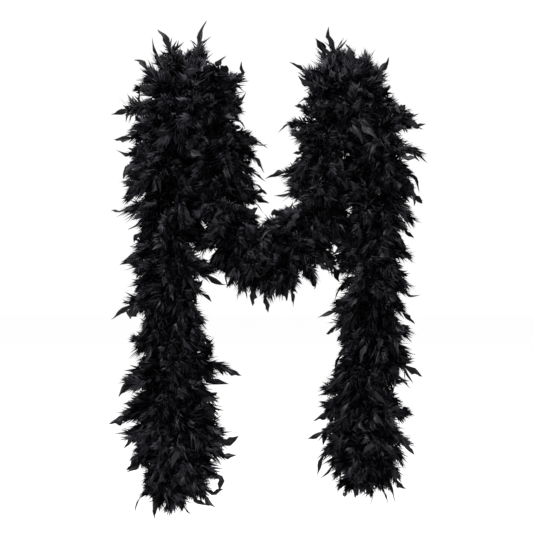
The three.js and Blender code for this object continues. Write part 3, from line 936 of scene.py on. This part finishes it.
def cord_material():
    """Laid cotton cord, dyed black: matte spun fibres with a fine nap that run along the plies."""
    material, tree, shader = new_material("cotton cord, laid and dyed black", {
        "Roughness": 0.92, "IOR": 1.53, "Sheen Weight": 0.3, "Sheen Roughness": 0.6, "Sheen Tint": linear("#77757c"),
    })
    place = add_node(tree, "ShaderNodeTexCoord")
    # Yarns in a ply lie about 0.6 mm apart: 1,600 to the metre
    fibres = add_node(
        tree, "ShaderNodeTexNoise", None, {"Vector": (place, "Object"), "Scale": 1600.0, "Detail": 4.0},
    )
    ramp = add_node(tree, "ShaderNodeValToRGB", None, {"Fac": fibres})
    set_ramp(ramp, "cord", 0.35, 0.7)
    tree.links.new(ramp.outputs["Color"], shader.inputs["Base Color"])
    bump = add_node(tree, "ShaderNodeBump", None, {"Strength": 0.5, "Distance": 0.0002, "Height": fibres})
    tree.links.new(bump.outputs["Normal"], shader.inputs["Normal"])
    return material


def quill_material():
    """Cut quill ends, dyed: hard keratin, brown-black and half glossy, paler where the dye took less."""
    material, tree, shader = new_material("feather quill, dyed black", {"Roughness": 0.45, "IOR": 1.55})
    place = add_node(tree, "ShaderNodeTexCoord")
    # Patches of dye about 3 mm long, a third of a quill's cut end
    patches = add_node(
        tree, "ShaderNodeTexNoise", None, {"Vector": (place, "Object"), "Scale": 300.0, "Detail": 3.0},
    )
    ramp = add_node(tree, "ShaderNodeValToRGB", None, {"Fac": patches})
    set_ramp(ramp, "quill", 0.35, 0.75)
    tree.links.new(ramp.outputs["Color"], shader.inputs["Base Color"])
    return material


def thread_material():
    """Waxed polyester sewing thread, black: tight twist with a slight lustre."""
    material, tree, shader = new_material("sewing thread, waxed black", {"Roughness": 0.6, "IOR": 1.5})
    place = add_node(tree, "ShaderNodeTexCoord")
    # A twist every 0.45 mm, about the thread's own thickness: 2,200 to the metre
    twist = add_node(
        tree, "ShaderNodeTexNoise", None, {"Vector": (place, "Object"), "Scale": 2200.0, "Detail": 2.0},
    )
    ramp = add_node(tree, "ShaderNodeValToRGB", None, {"Fac": twist})
    set_ramp(ramp, "thread")
    tree.links.new(ramp.outputs["Color"], shader.inputs["Base Color"])
    return material


def paper_material():
    """Matt white studio paper, lit so evenly that its far edge meets the white surround."""
    return new_material("white floor paper", {
        "Roughness": 1.0, "Base Color": linear("#6e6e6e"), "Emission Color": linear("#ffffff"),
        "Emission Strength": 0.97,
    })[0]


MAKERS = {
    "down": down_material, "vane": vane_material, "cord": cord_material, "quill": quill_material,
    "thread": thread_material,
}
made_finishes = {}


def finish(name):
    """One of the object's materials, made when it is first asked for."""
    if name not in made_finishes:
        made_finishes[name] = MAKERS[name]()
    return made_finishes[name]


# ---- loose feathers -----------------------------------------------------------------------------------------


def flat_ended(rng, root, point):
    """One loose feather with a long flat end, from its root to its point."""
    point = root + (point - root) * LOOSE_REACH
    feather = Feather(rng, (point - root).length)
    shape = flat_shape(rng, feather, True, rng.uniform(*LOOSE_WIDTH), rng.uniform(*LOOSE_VANE))
    down = down_shape(rng, feather, True, LOOSE_TUFTS, LOOSE_DOWN)
    first = len(shape.vertices)
    shape.vertices += down.vertices
    shape.faces += [tuple(first + i for i in face) for face in down.faces]
    shape.uvs += down.uvs
    along = (point - root).normalized()
    turn = (feather.at(1.0).normalized().rotation_difference(along)).to_matrix()
    grow = (point - root).length / feather.at(1.0).length
    shape.vertices = [root + turn @ (v * grow) for v in shape.vertices]
    return shape


def tip_ends(node):
    """Where a frame tip's shaft starts and where its point is: of its two far corners, the point is the sharper."""
    corners = [Vector(v.co) for v in node.data.vertices]
    middle = sum(corners, Vector()) / len(corners)
    a = max(corners, key=lambda v: (v - middle).length)
    b = max(corners, key=lambda v: (v - a).length)
    spread = {}
    for end, other in ((a, b), (b, a)):
        along = (end - other).normalized()
        near = [v for v in corners if (end - v).dot(along) < END_SLICE]
        spread[end.freeze()] = max((v - w).length for v in near for w in near)
    point, root = sorted((a, b), key=lambda end: spread[end.freeze()])
    return root, point


def body_of_node(name):
    """The body that holds a frame node."""
    return next(body for body, nodes in frame["record"]["behaviour"]["bodies"].items() if name in nodes)


# ---- operators ----------------------------------------------------------------------------------------------


VIEW_MIDDLE = Vector((0.1095, 0, -0.250))
FLOOR_LEVEL, FLOOR_REACH = -0.72, 14
LIGHTS = {  # place, size and power
    "key_light": ((-1.5, -1.8, 2.1), 1.3, 170),
    "fill_light": ((2.2, -1.5, 0.7), 1.8, 42),
    "top_light": ((0.1, 0.2, 2.1), 1.6, 70),
}
WORLD_LIGHT = 0.06  # strength of the white surround as a light; where it is seen, it is 1


class BOA_OT_stage(bpy.types.Operator):
    """Set up the floor, the lights and the camera"""

    bl_idname = "boa.stage"
    bl_label = "Stage"

    def execute(self, context):
        settings = context.scene.boa_stage
        camera_data = bpy.data.cameras.new("camera")
        camera_data.lens = camera_data.sensor_width * settings.distance / settings.width
        camera_data.clip_end = 50
        camera = shown(bpy.data.objects.new("camera", camera_data))
        camera.location = VIEW_MIDDLE - Vector((0, settings.distance, 0))
        camera.rotation_euler = (math.pi / 2, 0, 0)
        context.scene.camera = camera

        corners = [
            Vector((VIEW_MIDDLE.x + x * FLOOR_REACH, y * FLOOR_REACH, FLOOR_LEVEL))
            for x, y in ((-1, -1), (1, -1), (1, 1), (-1, 1))
        ]
        paper = shown(mesh_object("floor_paper", corners, [(0, 1, 2, 3)]))
        paper.data.materials.append(paper_material())

        for name, (place, size, power) in LIGHTS.items():
            data = bpy.data.lights.new(name, "AREA")
            data.size = size
            data.energy = power
            light = shown(bpy.data.objects.new(name, data))
            light.location = place
            light.rotation_euler = (VIEW_MIDDLE - Vector(place)).to_track_quat("-Z", "Y").to_euler()
        world = bpy.data.worlds.new("studio")
        world.use_nodes = True
        background = world.node_tree.nodes["Background"]
        background.inputs["Color"].default_value = (1, 1, 1, 1)
        seen = add_node(world.node_tree, "ShaderNodeLightPath")
        strength = add_node(
            world.node_tree, "ShaderNodeMath", "MULTIPLY_ADD",
            {0: (seen, "Is Camera Ray"), 1: 1 - WORLD_LIGHT, 2: WORLD_LIGHT},
        )
        world.node_tree.links.new(strength.outputs["Value"], background.inputs["Strength"])
        context.scene.world = world
        context.scene.view_settings.view_transform = "Standard"
        return {"FINISHED"}


# How each cord and thread is laid, in metres. The cord's two plies just touch, and 2 x (radius + offset) is its
# thickness: 4.6 mm for the core cord, 3.1 mm in the knots and 2.8 mm at the loose ends.
CORE_LAY = {"Point Spacing": 0.0012, "Strand Radius": 0.00118, "Offset": 0.00112, "Lay": 0.0105}
KNOT_LAY = {"Point Spacing": 0.0005, "Strand Radius": 0.00082, "Offset": 0.00072, "Lay": 0.006}
LOOSE_LAY = {"Point Spacing": 0.0006, "Strand Radius": 0.00072, "Offset": 0.00066, "Lay": 0.006}
SEWING_LAY = {"Point Spacing": 0.0008, "Strand Radius": 0.0002, "Offset": 0.0044, "Lay": 0.0042}
WHIPPING_LAY = {"Point Spacing": 0.00003, "Strand Radius": 0.00036, "Offset": 0.0056, "Lay": 0.00068}
KNOT_POINTS, KNOT_SCALE = 60, 0.00115  # round the knot's loop, and metres to one unit of its curve
QUILL_SEED = 60
LOOSE_STEPS = ((0, 0, 0), (1, -1, -10), (4, -3, -20), (3, -4, -30))  # outward, forward and up, in mm


class BOA_OT_cord_ends(bpy.types.Operator):
    """Finish each end of the cord with a whipping, an overhand knot and a short loose tail"""

    bl_idname = "boa.cord_ends"
    bl_label = "Cord ends"

    def execute(self, context):
        laid, wound = strand_tree("laid cord end", 2), strand_tree("wound whipping", 1)
        cord, thread = {"Finish": finish("cord")}, {"Finish": finish("thread")}
        for name, side in SIDES.items():
            end = tail_route(side)[-1]
            body = f"{name}_tail_4"
            rise = [end + Vector((0, 0, WHIPPING_LENGTH * (i / 4))) for i in range(5)]
            whipping = grown(f"{name}_thread_whipping", curve_object("route", rise), wound, WHIPPING_LAY | thread)
            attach(whipping, body)
            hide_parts(f"{name}_whipping")

            middle = end - Vector((0, 0, END_GAP + KNOT_RADIUS))
            loop = []
            for i in range(KNOT_POINTS + 1):
                t = math.tau * i / KNOT_POINTS
                trefoil = (math.sin(t) + 2 * math.sin(2 * t), math.cos(t) - 2 * math.cos(2 * t), -1.5 * math.sin(3 * t))
                loop.append(middle + KNOT_SCALE * Vector(trefoil))
            knot = grown(f"{name}_overhand_knot", curve_object("route", loop), laid, KNOT_LAY | cord)
            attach(knot, body)
            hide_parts(f"{name}_knot")

            root = middle - Vector((0, 0, KNOT_RADIUS + END_GAP))
            out = side["out"]
            hang = smooth_route([root + Vector((out * x, y, z)) / 1000 for x, y, z in LOOSE_STEPS])
            tail = grown(f"{name}_loose_cord_end", curve_object("route", hang), laid, LOOSE_LAY | cord)
            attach(tail, body)
            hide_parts(f"{name}_cord_tail")
        return {"FINISHED"}


class BOA_OT_core_cord(bpy.types.Operator):
    """Lay the two-ply core cord and sew the quill ends round it"""

    bl_idname = "boa.core_cord"
    bl_label = "Core cord and quills"

    def execute(self, context):
        laid, wound, quills = strand_tree("laid cord", 2), strand_tree("wound thread", 1), quill_tree()
        for number, part in enumerate(stretches()):
            for label, slot, tree, values in (
                ("core_cord", "cord", laid, CORE_LAY | {"Finish": finish("cord")}),
                ("quill_band", "quills", quills, {
                    "Spacing": context.scene.boa.spacing, "Finish": finish("quill"), "Seed": QUILL_SEED + number,
                }),
                ("sewing_thread", "thread", wound, SEWING_LAY | {"Finish": finish("thread")}),
            ):
                piece = grown(f"{part.name}_{label}", curve_object("route", part.route), tree, values)
                part.attach(piece)
            if part.cords:
                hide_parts(*[f"{prefix}_cord" for prefix in part.cords])
                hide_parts(*[f"{prefix}_quills" for prefix in part.cords])
        return {"FINISHED"}


class BOA_OT_feathers(bpy.types.Operator):
    """Grow the down and the flat feather ends along every stretch"""

    bl_idname = "boa.feathers"
    bl_label = "Feathers"

    def execute(self, context):
        settings = context.scene.boa
        kinds = feather_kinds()
        tree = feather_tree()
        for number, part in enumerate(stretches()):
            values = {
                "Spacing": settings.spacing / part.crowding, "Scatter": settings.scatter,
                "Least Size": settings.least_size, "Most Size": settings.most_size,
                "Droop": settings.droop * part.droop, "Ruffle": settings.ruffle,
                "Seed": settings.seed + 100 * number,
            }
            for label, material, slot in (("down", "down", "down"), ("flats", "vane", "tips")):
                values |= {"Kinds": kinds[label], "Finish": finish(material)}
                piece = grown(f"{part.name}_{label}", part.base(), tree, values)
                part.attach(piece)
                if label == "down" and part.plumes:
                    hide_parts(*part.plumes)
        return {"FINISHED"}


class BOA_OT_loose_feathers(bpy.types.Operator):
    """Add the loose feathers whose flat ends stand out of the down"""

    bl_idname = "boa.loose_feathers"
    bl_label = "Loose feathers"

    def execute(self, context):
        rng = random.Random(19)
        for name, node in sorted(frame["nodes"].items()):
            if "_tip_" not in name:
                continue
            shape = flat_ended(rng, *tip_ends(node))
            label = name.replace("_tip_", "_loose_feather_")
            piece = shown(mesh_object(label, shape.vertices, shape.faces, shape.uvs))
            piece.data.materials.append(finish("vane"))
            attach(piece, body_of_node(name))
            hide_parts(name)
        return {"FINISHED"}


# ---- panel and registration ---------------------------------------------------------------------------------


STEPS = (BOA_OT_stage, BOA_OT_cord_ends, BOA_OT_core_cord, BOA_OT_feathers, BOA_OT_loose_feathers)


class BOA_PT_panel(bpy.types.Panel):
    """The boa's sizes and colours, and the steps that build it"""

    bl_idname = "BOA_PT_panel"
    bl_label = "Feather boa"
    bl_space_type = "VIEW_3D"
    bl_region_type = "UI"
    bl_category = "Boa"

    def draw(self, context):
        scene = context.scene
        for settings in (scene.boa, scene.boa_colours, scene.boa_stage):
            for name in settings.bl_rna.properties.keys():
                if name not in ("rna_type", "name"):
                    self.layout.prop(settings, name)
        for step in STEPS:
            self.layout.operator(step.bl_idname)


SETTINGS = {"boa": BoaSettings, "boa_colours": BoaColours, "boa_stage": BoaStageSettings}
CLASSES = (*SETTINGS.values(), *STEPS, BOA_PT_panel)


def register():
    for each in CLASSES:
        bpy.utils.register_class(each)
    for name, group in SETTINGS.items():
        setattr(bpy.types.Scene, name, bpy.props.PointerProperty(type=group))


def unregister():
    for name in SETTINGS:
        delattr(bpy.types.Scene, name)
    for each in reversed(CLASSES):
        bpy.utils.unregister_class(each)


def main():
    register()
    for step in STEPS:
        getattr(bpy.ops.boa, step.bl_idname.split(".")[1])()


if __name__ == "__main__":
    main()
